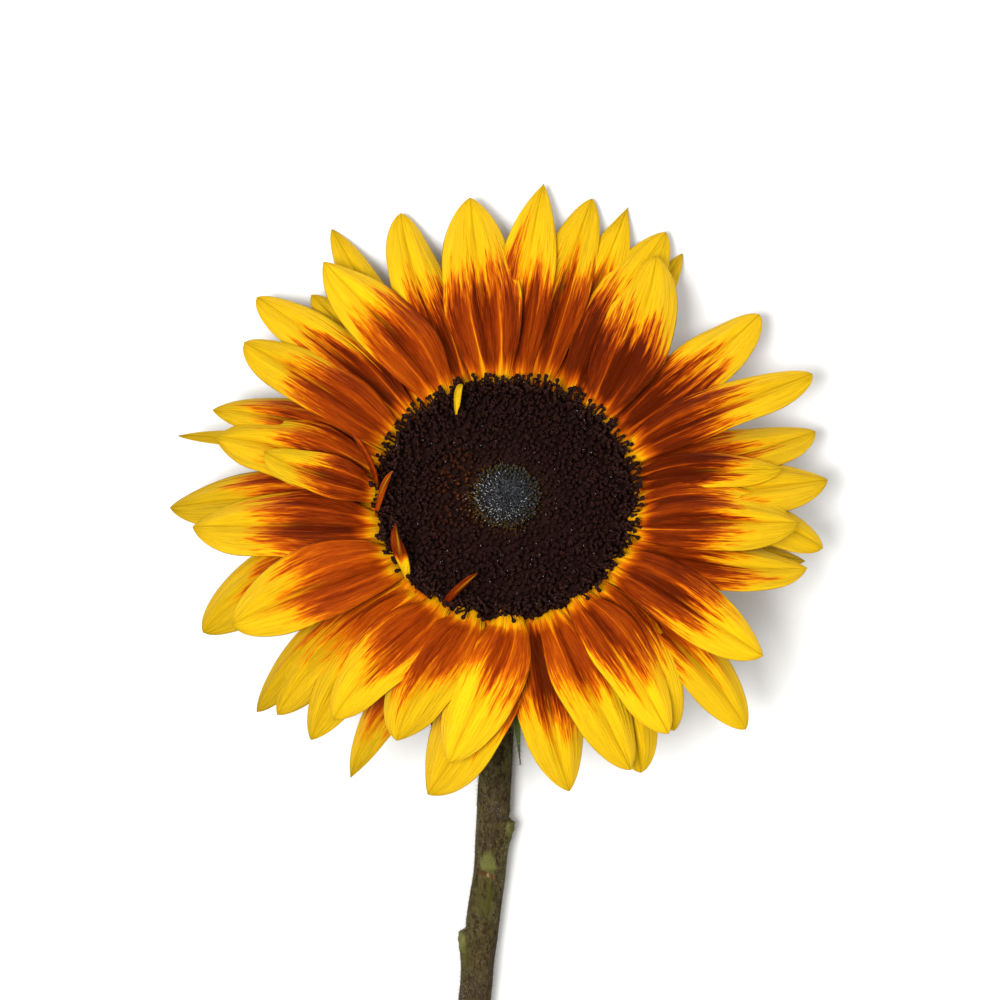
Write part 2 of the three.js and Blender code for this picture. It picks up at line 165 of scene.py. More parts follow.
def grain(tree, scale, detail=3.0, roughness=0.6, stretch=(1, 1, 1)):
    """Cloudy noise over the object's own coordinates, stretched by a scale along each axis."""
    place = node(tree, "TexCoord").outputs["Object"]
    place = node(tree, "Mapping", {"Vector": place, "Scale": stretch}).outputs["Vector"]
    return noise(place, scale, detail, roughness)


def marked(tree, *names):
    """The value that a mesh carries at its points under each name."""
    return [node(tree, "Attribute", attribute_name=name).outputs["Fac"] for name in names]


def painted(shader, colour, height=None, distance=0.0):
    """Gives the shader its colour, and bumps from a height of 0 to 1 that stands for a distance in metres."""
    tree = colour.id_data
    tree.links.new(colour, shader.inputs["Base Color"])
    if height is not None:
        bump = node(tree, "Bump", {"Height": height, "Distance": distance, "Strength": 1.0})
        tree.links.new(bump.outputs["Normal"], shader.inputs["Normal"])


def surface(name, shape, material, **others):
    """A smooth mesh from a shape: points (n, 3) in millimetres, triangles (m, 3), and perhaps a table of
    marks. A mark is a value for each point or one for all, and others can be named here."""
    points, faces, *marks = shape
    marks = {**(marks[0] if marks else {}), **others}
    mesh = bpy.data.meshes.new(name)
    mesh.from_pydata(points * METRES, [], faces, shade_flat=False)
    for mark, values in marks.items():
        attribute = mesh.attributes.new(mark, "FLOAT", "POINT")
        attribute.data.foreach_set("value", np.broadcast_to(values, len(points)).astype(np.float32))
    mesh.materials.append(material)
    piece = bpy.data.objects.new(name, mesh)
    bpy.context.scene.collection.objects.link(piece)
    return piece


floor_finish, tree, shader = finish("pale_floor", 0.75, 0.2)
painted(shader, tint(grain(tree, 900), (0.83, 0.83, 0.82), (0.87, 0.87, 0.86)))
corners = 3000.0 * np.array([[-1, -1, 0], [1, -1, 0], [1, 1, 0], [-1, 1, 0]]) - [0, 0, 0.2]
floor = surface("floor", (corners, np.array([[0, 1, 2], [0, 2, 3]])), floor_finish)


# ---- Stem ----
# A pithy green stem, brown and mottled with age and downy all over. It lies along the surface and bends up
# under the head. Three leaves were stripped from it and left their stubs, and it was cut straight across.

STEM_RADIUS = 4.0
STEM_REACH = 200  # from the middle of the disc to the cut end, along Y
STEM_LINE = [
    (-16.0, -STEM_REACH), (-11.8, -160), (-7.6, -121), (-6.2, -106),
    (-3.7, -87), (-2.9, -72), (-1.4, -48), (-0.6, -32),
]
STEM_REST = STEM_RADIUS * np.cos(np.pi / 10)  # the height that the middle of the stem lies at
RECEPTACLE_BACK = -16.7  # heights are measured from the disc's face, along the head's axis
STEM_ROWS = 900
STEM_SIDES = 84
LEAF_STUBS = [(96, 168, 1.25), (111, 96, 0.8), (123, 12, 1.05)]  # distance from the cut, degrees round, size


def outwards(angle):
    """Directions straight out from the head's axis, at angles round it from 0 at +X."""
    angle = np.asarray(angle)[..., None]
    return np.cos(angle) * ACROSS + np.sin(angle) * UPWARDS


def on_head(radius, angle, height):
    """Points of the head from distances to its axis, angles round it and heights above the disc's face."""
    radius, height = np.asarray(radius)[..., None], np.asarray(height)[..., None]
    return HEAD + radius * outwards(angle) + height * AXIS


def bezier(corners, t):
    """Points and directions at shares t of the cubic Bezier curve that four corners pull."""
    t = np.asarray(t, float)[:, None]
    p0, p1, p2, p3 = (np.asarray(c, float) for c in corners)
    points = (1 - t) ** 3 * p0 + 3 * (1 - t) ** 2 * t * p1 + 3 * (1 - t) * t**2 * p2 + t**3 * p3
    along = (1 - t) ** 2 * (p1 - p0) + 2 * (1 - t) * t * (p2 - p1) + t**2 * (p3 - p2)
    return points, unit(along)


def unit(vectors):
    """Vectors scaled to a length of 1."""
    return vectors / np.linalg.norm(vectors, axis=-1, keepdims=True)


def smooth_line(knots, count):
    """Even points on a cubic curve through the knots, whose slope at a knot is the mean of its two sides."""
    knots = np.asarray(knots, float)
    gaps = np.linalg.norm(np.diff(knots, axis=0), axis=1)
    slopes = np.diff(knots, axis=0) / gaps[:, None]
    middle = (slopes[:-1] * gaps[1:, None] + slopes[1:] * gaps[:-1, None]) / (gaps[1:] + gaps[:-1])[:, None]
    tangents = np.concatenate([slopes[:1], middle, slopes[-1:]])
    span = np.repeat(np.arange(len(gaps)), 60)
    t = np.tile(np.arange(60) / 60, len(gaps))[:, None]
    g = gaps[span][:, None]
    fine = (
        (2 * t**3 - 3 * t**2 + 1) * knots[span]
        + (t**3 - 2 * t**2 + t) * g * tangents[span]
        + (3 * t**2 - 2 * t**3) * knots[span + 1]
        + (t**3 - t**2) * g * tangents[span + 1]
    )
    fine = np.concatenate([fine, knots[-1:]])
    length = np.concatenate([[0], np.cumsum(np.linalg.norm(np.diff(fine, axis=0), axis=1))])
    even = np.linspace(0, length[-1], count)
    return np.stack([np.interp(even, length, fine[:, k]) for k in range(3)], axis=1), even


def framed(middle, x, first, y, second):
    """Rings of points round a line of middles: x along the first direction and y along the second."""
    return middle[:, None] + x[..., None] * first[:, None] + y[..., None] * second[:, None]


def sleeve(n, m):
    """The triangles between neighbours of n rings of m points."""
    i, j = np.meshgrid(np.arange(n - 1), np.arange(m), indexing="ij")
    a, b = i * m + j, i * m + (j + 1) % m
    return np.concatenate([np.stack([a, b, b + m], -1), np.stack([a, b + m, a + m], -1)]).reshape(-1, 3)


def full_turn(count):
    """Even angles once round, from 0."""
    return np.linspace(0, 2 * np.pi, count, endpoint=False)


def facing_outwards(points, faces):
    """The faces of a closed skin, turned over where its signed volume is negative."""
    p = points[faces] - points.mean(axis=0)
    inside_out = np.einsum("ij,ij->", p[:, 0], np.cross(p[:, 1], p[:, 2])) < 0
    return faces[:, ::-1] if inside_out else faces


def closed_tube(rings):
    """A skin over rings of points (n, m, 3), closed at each end by a fan to the ring's middle."""
    n, m = rings.shape[:2]
    points = np.concatenate([rings.reshape(-1, 3), rings[:1].mean(axis=1), rings[-1:].mean(axis=1)])
    k, k1 = np.arange(m), (np.arange(m) + 1) % m
    faces = np.concatenate([
        sleeve(n, m),
        np.stack([k1, k, np.full(m, n * m)], -1),
        np.stack([(n - 1) * m + k, (n - 1) * m + k1, np.full(m, n * m + 1)], -1),
    ])
    return points, facing_outwards(points, faces)


def closed_blade(rings, **marks):
    """A skin over flat rings of points (n, m, 3), zipped shut from top to underside at each end. Its marks
    are given for each ring, for each place in a ring, or once."""
    n, m = rings.shape[:2]
    k = np.arange(1, m // 2 - 1)
    end = np.concatenate([
        np.stack([k, k + 1, m - k - 1], -1),
        np.stack([k, m - k - 1, m - k], -1),
        [[0, 1, m - 1], [m // 2 - 1, m // 2, m // 2 + 1]],
    ])
    faces = np.concatenate([sleeve(n, m), end[:, ::-1], end + (n - 1) * m])
    points = rings.reshape(-1, 3)
    marks = {mark: np.broadcast_to(values, (n, m)).ravel() for mark, values in marks.items()}
    return points, facing_outwards(points, faces), marks


def with_ends(values):
    """Values for the rings of a closed tube, with the mean of an end ring for each fan point."""
    return np.concatenate([values.ravel(), [values[0].mean()], [values[-1].mean()]])


def hairs(roots, directions, shortest, longest, thickness):
    """Three-sided needles: a small triangle round each root, drawn to a point along its direction."""
    lengths = chance.uniform(shortest, longest, len(roots))
    directions = unit(directions)
    aside = unit(np.cross(directions, [0.31, 0.87, 0.38]))
    other = np.cross(directions, aside)
    turns = full_turn(3)
    feet = framed(roots, thickness * np.cos(turns), aside, thickness * np.sin(turns), other)
    tips = (roots + directions * lengths[:, None])[:, None]
    points = np.concatenate([feet, tips], axis=1).reshape(-1, 3)
    pattern = np.array([[0, 1, 3], [1, 2, 3], [2, 0, 3], [0, 2, 1]])
    return points, (pattern[None] + 4 * np.arange(len(roots))[:, None, None]).reshape(-1, 3)


def above_floor(shape):
    """Points and faces with the points below the floor lifted to it."""
    points, faces = shape
    points[:, 2] = np.maximum(points[:, 2], 0)
    return points, faces


SEED = 7
chance = np.random.default_rng(SEED)

lying = [(HEAD[0] + x, HEAD[1] + y, STEM_REST) for x, y in STEM_LINE]
neck_top = on_head(0.0, 0.0, RECEPTACLE_BACK + 0.4)
neck_bend = np.array(lying[-1])
neck_corners = [neck_bend, neck_bend + [0.3, 14, 0], neck_top - 9 * AXIS, neck_top]
neck, _ = bezier(neck_corners, np.linspace(0, 1, 9)[1:])
stem_middle, stem_distance = smooth_line(np.concatenate([lying, neck]), STEM_ROWS)
stem_along = unit(np.gradient(stem_middle, axis=0))
stem_across = unit(ACROSS - (stem_along @ ACROSS)[:, None] * stem_along)
stem_up = np.cross(stem_across, stem_along)
stem_length = stem_distance[-1]

far, turn = np.meshgrid(stem_distance, full_turn(STEM_SIDES), indexing="ij")
swelling = 2.2 * np.clip((far / stem_length - 0.86) / 0.14, 0, 1) ** 2
ribs = 0.07 * np.sin(7 * turn + 0.02 * far) + 0.05 * np.sin(13 * turn - 0.05 * far + 1)
lumps = 0.08 * np.sin(0.21 * far + 2 * turn) + 0.06 * np.sin(0.47 * far - 3 * turn)
stem_radius = STEM_RADIUS * 0.965 + swelling + ribs + lumps
pale, lip, striped = np.zeros_like(far), np.zeros_like(far), np.zeros_like(far)
for distance, degrees, size in LEAF_STUBS:
    sideways = np.angle(np.exp(1j * (turn - np.radians(degrees)))) * STEM_RADIUS
    lengthways = far - distance
    ledge = np.exp(-((lengthways / np.where(lengthways > 0, 0.9, 4.6)) ** 2) - (sideways / 2.4) ** 4)
    hollow = np.exp(-(((lengthways - 1.5) / 0.9) ** 2) - (sideways / 2.0) ** 2)
    ragged = 1 + 0.12 * np.sin(5 * sideways) + 0.08 * np.sin(3 * lengthways)
    stem_radius += size * (1.15 * ledge * ragged - 0.3 * hollow)
    bent = lengthways + 0.12 * sideways**2 - 0.25 * sideways
    beside = np.abs(np.cos(np.radians(degrees)))
    pale += np.exp(-(((bent - 2.8 + 4 * beside) / 3) ** 2) - (sideways / 2.4) ** 4)
    lip += (1 - 0.8 * beside) * np.exp(-((bent / 0.7) ** 2) - (sideways / 3.0) ** 6)
    striped += np.exp(-(((bent + 5) / 5) ** 4) - (sideways / 2.6) ** 4)
rings = framed(stem_middle, stem_radius * np.cos(turn), stem_across, stem_radius * np.sin(turn), stem_up)
cut_shares = np.array([0.08, 0.35, 0.62, 0.86, 0.97])[:, None, None]
cut_face = stem_middle[0] + (rings[0] - stem_middle[0]) * cut_shares
rings = np.concatenate([cut_face + stem_along[0] * -0.12, rings])
rings[..., 2] = np.maximum(rings[..., 2], 0)
on_cut = np.repeat(1 - 0.9 * cut_shares[:, 0], STEM_SIDES, axis=1)
marks = {"cut": with_ends(np.concatenate([on_cut, np.zeros_like(far)]))}
for mark, values in (("height", far / stem_length), ("pale", pale), ("lip", lip), ("striped", striped)):
    marks[mark] = with_ends(np.concatenate([np.zeros_like(on_cut), values]))

stem_finish, tree, shader = finish("downy_stem", 0.85, 0.06)
mottle = grain(tree, 1.0, 4, 0.75, (850, 420, 850))
blotch = grain(tree, 1.0, 3, 0.6, (90, 30, 90))
down = grain(tree, 1.0, 2, 0.6, (2600, 1300, 2600))
colour = tint(step(mottle, 0.4, 0.62), (0.02, 0.012, 0.004), (0.078, 0.057, 0.019))
colour = tint(step(blotch, 0.48, 0.68), colour, (0.08, 0.076, 0.02))
colour = tint(step(blotch, 0.46, 0.3), colour, (0.046, 0.03, 0.018))
high, pale_mark, lip_mark, striped_mark, cut_mark = marked(tree, "height", "pale", "lip", "striped", "cut")
young_green = tint(mottle, (0.1, 0.14, 0.03), (0.19, 0.24, 0.07))
colour = coated(
    colour,
    (step(high, 0.72, 0.95), young_green),
    (times(step(high, 0.6, 0.3), 0.55), (0.036, 0.022, 0.011)),
    (times(step(down, 0.5, 0.75), 0.25), (0.22, 0.195, 0.115)),
)
streaky = grain(tree, 1.0, 3, 0.6, (700, 60, 700))
wobble = times(sums("SUBTRACT", mottle, 0.5), 0.9)
stripes = times(striped_mark, step(streaky, 0.4, 0.6))
colour = tint(stripes, colour, tint(mottle, (0.03, 0.028, 0.005), (0.09, 0.083, 0.016)))
bruise = tint(mottle, (0.045, 0.042, 0.01), (0.19, 0.19, 0.055))
colour = tint(step(sums("ADD", pale_mark, wobble), 0.25, 0.9), colour, bruise)
torn = tint(step(streaky, 0.5, 0.66), (0.075, 0.036, 0.01), (0.27, 0.21, 0.1))
colour = tint(step(sums("ADD", lip_mark, wobble), 0.35, 0.7), colour, torn)
pith = tint(down, (0.55, 0.53, 0.36), (0.7, 0.68, 0.5))
pith = tint(step(cut_mark, 0.1, 0.35), (0.13, 0.17, 0.05), pith)
colour = tint(step(cut_mark, 0.02, 0.1), colour, pith)
painted(shader, colour, sums("ADD", mottle, times(down, 0.5)), 0.0003)

stem = surface("stem_skin", (*closed_tube(rings), marks), stem_finish)
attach(stem, "root")
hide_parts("stem")

STEM_HAIRS = 34000
hair_finish, tree, shader = finish("pale_down", 0.7, 0.1)
patchy = grain(tree, 1.0, stretch=(260, 120, 260))
painted(shader, tint(step(patchy, 0.42, 0.66), (0.05, 0.038, 0.016), (0.36, 0.34, 0.25)))
rows = chance.integers(8, STEM_ROWS - 5, STEM_HAIRS)
turns = chance.integers(0, STEM_SIDES, STEM_HAIRS)
roots = rings[5:][rows, turns] + 0.15 * chance.normal(size=(STEM_HAIRS, 1)) * stem_along[rows]
outward = unit(roots - stem_middle[rows])
leaning = outward + 0.75 * chance.normal(size=roots.shape)
down_shape = hairs(roots - 0.1 * outward, leaning, 0.35, 1.0, 0.029)
stem_down = surface("stem_down", above_floor(down_shape), hair_finish)
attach(stem_down, "root")


# ---- Receptacle and bracts ----
# The fleshy green back of the head, which widens out of the stem, and two rows of pointed green bracts that
# grow from it. They are ribbed and edged with pale hairs, and those under the far edge are pressed flat.

DISC_RADIUS = 29.2
GAP = 0.3
RIM_WIDTH = 2.2
RIM_BOTTOM = -6.5
RIM_TOP = -2.6
BRACT_THICKNESS = 0.55
BRACT_ROWS = [  # how many, radius and height they grow from, length, width, degrees of offset, first number
    (16, 28.6, -9.2, 22, 12.5, 2, 0),
    (14, 23.0, -12.0, 23, 12.0, 11, 20),
]
DRAWN_OUT = 12  # the bract nearest to the stem, which is longer and narrower than the others


def draw(k, salt):
    """A repeatable draw from 0 to 1 for item k of a list: the fraction of a large sine."""
    return (np.sin(k * 12.9898 + salt * 78.233) * 43758.5453) % 1


def between(a, b, share):
    """The value a share of the way from a to b."""
    return a + (b - a) * share


def smooth_step(value, low, high):
    """Rises smoothly from 0 where value is low to 1 where it is high."""
    share = np.clip((value - low) / (high - low), 0, 1)
    return share * share * (3 - 2 * share)


def hang(angle):
    """0 at the far side of the bloom and 1 at the stem side, where rays and bracts hang back most."""
    return (1 - np.sin(angle)) / 2


def round_of(count):
    """Across positions once round a flat blade, from -1 to 1 on top and back below, closer near the edges."""
    k = np.arange(count) / count
    across = -(0.55 * np.cos(2 * np.pi * k) + 0.45 * (1 - 4 * np.abs(np.mod(k + 0.5, 1) - 0.5)))
    side = np.where(k < 0.5, 1.0, -1.0) * np.sqrt(1 - np.clip(np.abs(across), 0, 1) ** 5)
    return across, side


rim = DISC_RADIUS + GAP + RIM_WIDTH
receptacle_top = RIM_BOTTOM - GAP
outline, _ = smooth_line([
    (0.5, 0, RECEPTACLE_BACK), (6.0, 0, RECEPTACLE_BACK), (12, 0, -15.4), (20, 0, -13.0), (27, 0, -10.2),
    (rim, 0, -8.0), (rim - 0.3, 0, receptacle_top - 0.1), (20, 0, receptacle_top), (0.5, 0, receptacle_top),
], 60)
around = full_turn(180)
ripple = 0.12 * np.sin(23 * around) + 0.1 * np.sin(37 * around + 1)
radius, height = outline[:, :1], outline[:, 2:]
rings = on_head(radius + ripple * np.clip(radius / 30, 0, 1) - 0.15, around, height)

green_finish, tree, shader = finish("downy_green", 0.75, 0.12)
mottle = grain(tree, 320, 4, 0.65)
down = grain(tree, 2600, 2, 0.6)
across, along = marked(tree, "across", "along")
ribs = sums("ABSOLUTE", sums("COSINE", times(across, 9.4)))
ribs = sums("POWER", ribs, 6.0)
colour = tint(mottle, (0.045, 0.085, 0.016), (0.12, 0.185, 0.042))
colour = coated(
    colour,
    (times(ribs, 0.4), (0.22, 0.29, 0.11)),
    (step(sums("ABSOLUTE", across), 0.84, 1.0), (0.3, 0.34, 0.18)),
    (step(along, 0.78, 1.0), (0.075, 0.06, 0.025)),
    (step(down, 0.6, 0.82), (0.36, 0.4, 0.28)),
)
painted(shader, colour, sums("ADD", ribs, mottle), 0.0002)

receptacle = surface("receptacle_back", closed_tube(rings), green_finish, across=0, along=0)
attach(receptacle, "root")
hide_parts("receptacle_bracts")


def gathered(parts):
    """Joins several shapes with the same marks into one, with their faces counted on."""
    starts = np.cumsum([0] + [len(points) for points, _, _ in parts[:-1]])
    points = np.concatenate([points for points, _, _ in parts])
    faces = np.concatenate([faces + start for (_, faces, _), start in zip(parts, starts)])
    marks = {mark: np.concatenate([marks[mark] for _, _, marks in parts]) for mark in parts[0][2]}
    return points, faces, marks


def blade(middle, along, half_width, raised, half_thickness, ring, floor):
    """Rings of points round a blade's middle line: half_width to each side, raised above its plane,
    half_thickness thick each way, and lifted where they would sink below the floor."""
    across, side = ring
    sideways = unit(np.cross(AXIS, along))
    up = np.cross(along, sideways)
    thick = side * half_thickness[:, None]
    rings = framed(middle, across * half_width[:, None], sideways, raised + thick, up)
    lowest = floor + (side + 1) * half_thickness[:, None]
    rings[..., 2] = np.maximum(rings[..., 2], lowest)
    return rings


bract_ring = round_of(28)
across = bract_ring[0]
u = np.linspace(0, 1, 31)
bracts, bract_edges = [], []
for count, radius, height, row_length, row_width, offset, first in BRACT_ROWS:
    for k in range(count):
        item = first + k
        root = np.radians(k * 360 / count + offset + 5 * (draw(item, 1) - 0.5))
        length = row_length * (1.3 if item == DRAWN_OUT else between(0.86, 1.12, draw(item, 2)))
        tip_height = height - between(17.5, 14, hang(root)) - 1.5 * draw(item, 3)
        bend_height = between(height, tip_height, between(0.85, 0.35, hang(root)))
        line = [
            on_head(radius - 2.5, root, height + 0.6),
            on_head(radius + length * 0.3, root, height + 0.4),
            on_head(radius + length * 0.7, root, bend_height),
            on_head(radius + length, root + 0.1 * (draw(item, 4) - 0.5), tip_height),
        ]
        middle, along = bezier(line, u)
        width = row_width * (0.9 + 1.2 * u) * (1 - u**1.15) ** 1.15
        if item == DRAWN_OUT:
            width = 0.5 * width * (1 - 0.45 * smooth_step(u, 0.3, 0.9))
        width = np.maximum(width * (1 + 0.05 * np.sin(9 * u + item)), 0.25)
        raised = 0.1 * width[:, None] * across**2 - 0.35 * np.exp(-((across / 0.16) ** 2)) * (1 - u[:, None])
        raised = raised + 0.03 * width[:, None] * np.sin(11 * u[:, None] + 3 * across + item) * np.abs(across)
        thickness = BRACT_THICKNESS / 2 * (1 - 0.5 * u)
        rings = blade(middle, along, width / 2, raised, thickness, bract_ring, 0.0)
        bracts.append(closed_blade(rings, across=across, along=u[:, None]))
        bract_edges.append((rings[2:, 0], rings[2:, 14], along[2:]))
bract_piece = surface("bracts", gathered(bracts), green_finish)
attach(bract_piece, "root")
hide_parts("receptacle_bracts")

left, right, forwards = (np.concatenate(values) for values in zip(*bract_edges))
roots = np.concatenate([left] * 3 + [right] * 3)
away = unit(np.concatenate([left - right + 1e-6] * 3 + [right - left + 1e-6] * 3))
directions = away + 0.7 * np.concatenate([forwards] * 6) + 0.25 * chance.normal(size=roots.shape)
roots = roots + 0.35 * chance.normal(size=(len(roots), 1)) * np.concatenate([forwards] * 6)
bract_down = surface("bract_down", above_floor(hairs(roots, directions, 0.5, 1.3, 0.03)), hair_finish)
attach(bract_down, "root")


# ---- Rays ----
# Forty-six soft strap-shaped petals in layers, grown from the rim of the head. Each is yellow at its claw,
# mahogany to about its middle, in ragged fingers between its veins, and clear yellow to its tip, with two
# long pleats.

# Each row is one ray: degrees round the rim at its root, its tip from the middle of the disc as seen from
# above (X, Y), width, layers back, how its edges stand, how sharp its tip is, how far it swings, and for its
# brown: how far out it reaches, how much further on one side, and how dark it is. That darkness holds painted
# shade as well, on rays that lie in shadow under others.
RAYS = [
    (96, -8.5, 70.5, 18.8, 0, -0.02, 0.8, -3, 0.6, 0.02, 0.8),
    (86, 9, 74, 14.5, 1, 0.02, 1.15, -5, 0.6, 0.05, 0.8),
    (76, 20.5, 70.5, 13.5, 1.9, 0.04, 0.8, -4, 0.63, 0.02, 0.82),
    (68, 29, 68.5, 13, 2.7, 0.06, 1.3, 1, 0.6, 0, 0.72),
    (58, 38, 62.5, 15.5, 1.3, 0.02, 0.8, -6, 0.55, 0.05, 1.0),
    (47, 35.5, 56.5, 17.4, 0, -0.04, 0.75, 13, 0.64, 0.03, 0.98),
    (52, 42, 57.5, 9, 2.8, 0, 0.9, 0, 0.5, 0, 0.8),
    (33, 60, 42.7, 14.3, 1.3, 0, 0.66, 5, 0.57, -0.01, 0.98),
    (22, 72, 28.4, 12, 0.4, 0, 0.64, 0, 0.59, 0, 0.9),
    (12, 73, 15, 13, 2.7, 0.02, 0.72, 10, 0.59, -0.07, 0.85),
    (9, 64.5, 6, 9.5, 1, 0, 0.9, 0, 0.66, 0.09, 1.0),
    (0, 75.5, 3.5, 15, 1.8, 0.02, 0.82, 4, 0.6, 0.08, 0.86),
    (-4, 67, -6.5, 12, 0.9, 0.02, 0.8, -14, 0.6, 0, 0.8),
    (-12, 68, -6.5, 15, 0, -0.03, 0.95, 2, 0.62, 0.05, 0.86),
    (-8, 74, -12.5, 12.5, 2, 0, 0.65, -27, 0.5, 0, 0.8),
    (-16, 70, -15.5, 8, 2.8, 0, 0.9, 0, 0.5, 0, 0.8),
    (-22, 70, -17, 13.8, 1.2, 0, 0.9, 17, 0.61, -0.05, 0.8),
    (-33, 59, -37, 15.5, 0, 0.03, 0.9, 2, 0.645, 0.05, 0.84),
    (-42, 55.5, -54.3, 14.5, 2, 0.02, 0.75, -17, 0.63, 0.02, 0.6),
    (-48, 38.5, -54, 14, 1.1, -0.05, 0.75, -16, 0.54, 0.05, 0.8),
    (-56, 37, -54.5, 14, 0, -0.03, 0.85, -6, 0.62, 0.08, 0.74),
    (-61, 31, -64, 15, 2.2, 0, 0.7, -22, 0.5, 0, 0.7),
    (-69, 28.5, -63, 15, 1.1, 0, 0.85, 2, 0.54, 0.03, 0.66),
    (-79, 14.5, -68, 15.5, 1.8, 0, 0.9, 6, 0.66, 0.1, 0.88),
    (-89, -13, -61, 16.5, 0, -0.05, 0.9, -1, 0.55, 0.04, 0.61),
    (-92, -18, -69, 18.5, 2.4, 0.03, 0.85, -18, 0.52, 0.03, 0.7),
    (-107, -25, -56, 17, 0.35, -0.05, 0.85, 18, 0.59, -0.14, 0.7),
    (-114, -36, -65.5, 10.5, 2.8, 0, 1.1, 14, 0.68, 0, 0.7),
    (-121, -39.5, -51.5, 14.8, 0.75, 0, 0.85, 14, 0.58, -0.1, 0.66),
    (-130, -45, -56.5, 13.5, 2.05, 0, 0.85, 18, 0.62, -0.03, 0.66),
    (-137, -53, -51, 13, 2.6, 0, 0.8, 15, 0.56, 0, 0.7),
    (-142, -58, -50.5, 11, 2.95, 0, 0.85, 12, 0.54, 0, 0.68),
    (-149, -63, -30, 19, 0, 0.12, 0.75, 6, 0.7, -0.02, 0.66),
    (-160, -70.5, -32, 16, 1.9, 0, 0.7, 24, 0.6, 0, 0.7),
    (-167, -73, -7.5, 17.8, 0.7, 0, 0.85, 0, 0.655, 0, 0.86),
    (180, -79, -3, 15, 2.3, 0.03, 0.85, 4, 0.57, -0.05, 0.75),
    (170, -68, 13.5, 17, 1.2, -0.02, 0.85, 11, 0.61, 0, 0.76),
    (177, -56, 10, 10.5, -0.8, 0.08, 0.75, -14, 0.6, -0.06, 0.84),
    (165, -77.5, 14, 5, 2.8, 0.03, 0.9, 8, 0.3, 0, 0.7),
    (159, -69, 20, 12, 2.1, 0, 0.9, 13, 0.71, 0, 0.84),
    (150, -61.5, 35.8, 14.3, 0.2, 0, 0.65, 4, 0.66, 0.01, 0.75),
    (138, -59, 46.8, 13, 1.4, 0.02, 0.68, 5, 0.58, 0.05, 0.9),
    (131, -46, 47.3, 10, 2.1, 0, 0.7, 4, 0.4, 0, 0.6),
    (121, -43, 55, 16.5, 0, -0.02, 1, 2, 0.6, -0.05, 0.73),
    (125, -41.5, 63.3, 10.3, 2.8, 0, 0.85, 0, 0.4, 0, 0.7),
    (110, -25, 67, 13.8, 1.4, 0, 0.7, -12, 0.58, -0.03, 0.86),
]
RAY_THICKNESS = 0.4
RAY_REACH = 72
BACK_LAYER = 2.8
LAYER_LIFT = 1.4  # how much higher each layer lies where rays touch the surface
ROOT_RADIUS = DISC_RADIUS + GAP + 0.8
RISE_FRONT = np.radians(46)  # how steeply a front ray leaves the rim
RISE_BACK = np.radians(12)


def turned(vector, degrees):
    """A vector turned about the head's axis."""
    a = np.radians(degrees)
    return vector * np.cos(a) + np.cross(AXIS, vector) * np.sin(a) + AXIS * (AXIS @ vector) * (1 - np.cos(a))


def ray_line(root_degrees, tip_x, tip_y, layer, swing):
    """The four corners of a ray's middle line: from the rim, up and out, over, and down to its tip."""
    root = np.radians(root_degrees)
    depth = layer / 3
    start = on_head(ROOT_RADIUS, root, between(RIM_TOP - 0.6, RIM_BOTTOM + 1.2, depth))
    reach = np.hypot(tip_x, tip_y) / RAY_REACH
    drop = (between(1.5, 19, hang(root)) + layer * between(3.0, 5.0, hang(root))) * reach**2
    tip = HEAD + [tip_x, tip_y, 0]
    plane = HEAD[2] - tip_y * np.tan(LEAN)
    tip[2] = max(plane - drop, (BACK_LAYER - layer) * LAYER_LIFT + RAY_THICKNESS / 2)
    length = np.linalg.norm(tip - start)
    rise = between(RISE_FRONT, RISE_BACK, depth)
    leave = outwards(root) * np.cos(rise) + AXIS * np.sin(rise)
    arrive = turned(unit(tip - start), swing)
    arrive = unit(arrive - between(0.06, 0.28, hang(root)) * AXIS)
    return [start, start + leave * length * 0.3, tip - arrive * length * 0.38, tip]


def ray_outline(t, sharpness):
    """How wide a ray is along its length: a claw, full width near the middle, closing to a rounded tip."""
    claw = 0.48 + 0.52 * np.sin(np.pi / 2 * np.minimum(1, t / 0.5)) ** 1.2
    return claw * (1 - t**5) ** (0.82 * sharpness)


